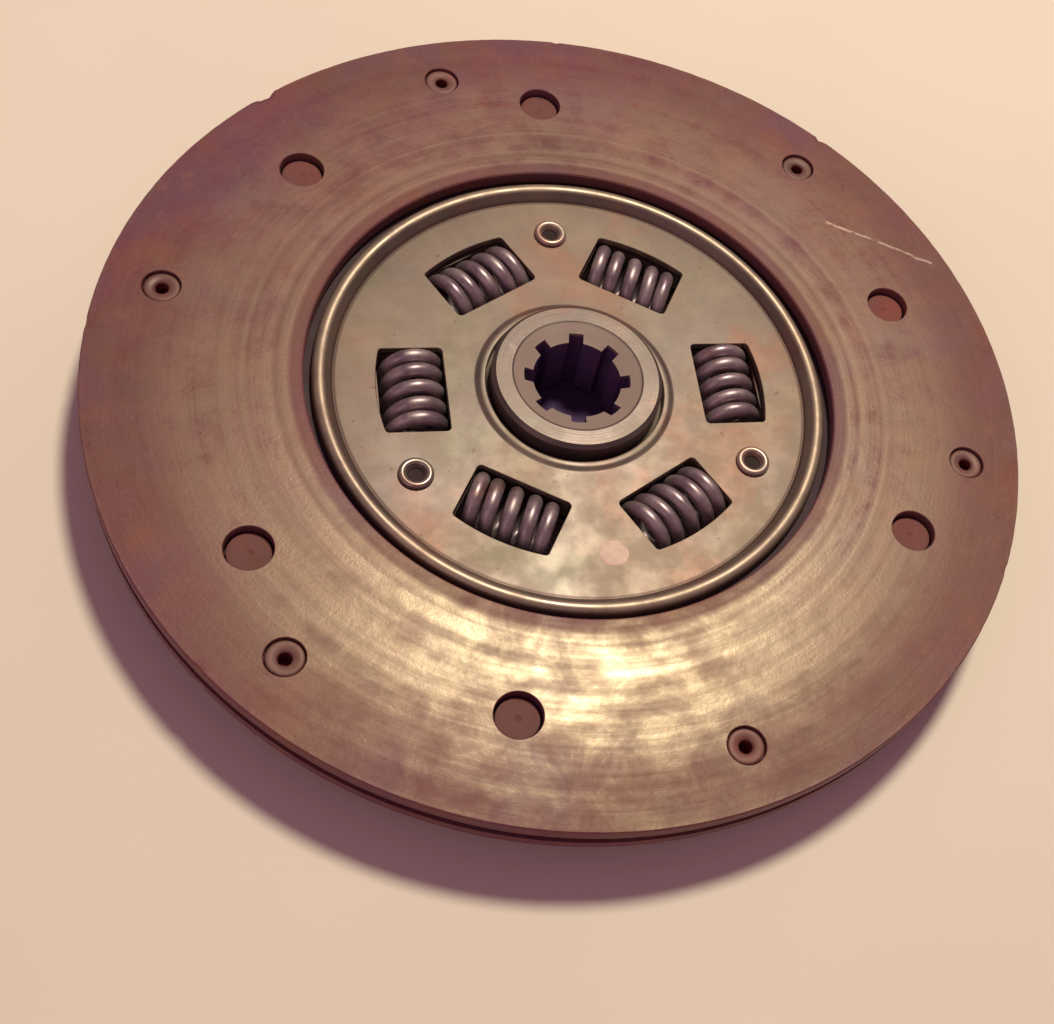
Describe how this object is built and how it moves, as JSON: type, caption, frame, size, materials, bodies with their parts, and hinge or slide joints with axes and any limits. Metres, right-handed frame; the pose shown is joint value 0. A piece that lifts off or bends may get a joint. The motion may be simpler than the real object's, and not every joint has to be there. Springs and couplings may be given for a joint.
{
  "type": "clutch driven plate",
  "caption": "Driven plate of a dry friction clutch: riveted friction facings on a slotted disc, cushion springs, coil-spring damper and splined hub.",
  "frame": {"origin": "centre of the hub's rear end face, on the hub axis", "axes": "+Z along the hub axis, from the hub's rear end towards the front friction face; +Y through the first stop pin, +X through the middle of the first spring window"},
  "size_m": [0.228, 0.228, 0.021],
  "materials": {
    "hub_steel": "tarnished forged steel, machined at the end face",
    "plate_steel": "tarnished cold-rolled sheet",
    "spring_steel": "oil-tempered, dark",
    "leaf_steel": "blued spring strip",
    "pin_steel": "worn bright",
    "rivet_metal": "dull",
    "friction_fibre": "matt pressed fibre",
    "friction_lining": "worn moulded friction lining with fine concentric rings"
  },
  "bodies": {
    "hub": {"hub": "hub_steel"},
    "disc": {"disc_plate": "plate_steel", "retainer_plate": "plate_steel", "friction_washer_front": "friction_fibre", "friction_washer_rear": "friction_fibre", "thrust_washer": "plate_steel", "spring_washer": "spring_steel", "stop_pin_1": "pin_steel", "stop_pin_2": "pin_steel", "stop_pin_3": "pin_steel", "cushion_spring_1": "leaf_steel", "cushion_spring_2": "leaf_steel", "cushion_spring_3": "leaf_steel", "cushion_spring_4": "leaf_steel", "cushion_spring_5": "leaf_steel", "cushion_spring_6": "leaf_steel", "cushion_rivets": "rivet_metal", "facing_rear": "friction_lining", "rear_rivet_1": "rivet_metal", "rear_rivet_2": "rivet_metal", "rear_rivet_3": "rivet_metal", "rear_rivet_4": "rivet_metal", "rear_rivet_5": "rivet_metal", "rear_rivet_6": "rivet_metal"},
    "springs": {"damper_spring_1": "spring_steel", "damper_spring_2": "spring_steel", "damper_spring_3": "spring_steel", "damper_spring_4": "spring_steel", "damper_spring_5": "spring_steel", "damper_spring_6": "spring_steel"},
    "front_facing": {"facing_front": "friction_lining", "front_rivet_1": "rivet_metal", "front_rivet_2": "rivet_metal", "front_rivet_3": "rivet_metal", "front_rivet_4": "rivet_metal", "front_rivet_5": "rivet_metal", "front_rivet_6": "rivet_metal"}
  },
  "joints": [
    {"name": "damper_twist", "type": "hinge", "parent": "hub", "child": "disc", "pos_m": [0, 0, 0.011], "axis": [0, 0, 1], "range_deg": [-6, 6], "stiffness_Nm_per_rad": 900, "deforming": ["damper_spring_1", "damper_spring_2", "damper_spring_3", "damper_spring_4", "damper_spring_5", "damper_spring_6"]},
    {"name": "spring_follow", "type": "hinge", "parent": "hub", "child": "springs", "pos_m": [0, 0, 0.011], "axis": [0, 0, 1], "range_deg": [-3, 3]},
    {"name": "cushion_travel", "type": "slide", "parent": "disc", "child": "front_facing", "axis": [0, 0, -1], "range_m": [0, 0.0005], "stiffness_N_per_m": 20000, "springref_m": -0.0005, "deforming": ["cushion_spring_1", "cushion_spring_2", "cushion_spring_3", "cushion_spring_4", "cushion_spring_5", "cushion_spring_6"]}
  ],
  "couplings": [
    {"joint": "spring_follow", "follows": "damper_twist", "ratio": 0.5}
  ]
}
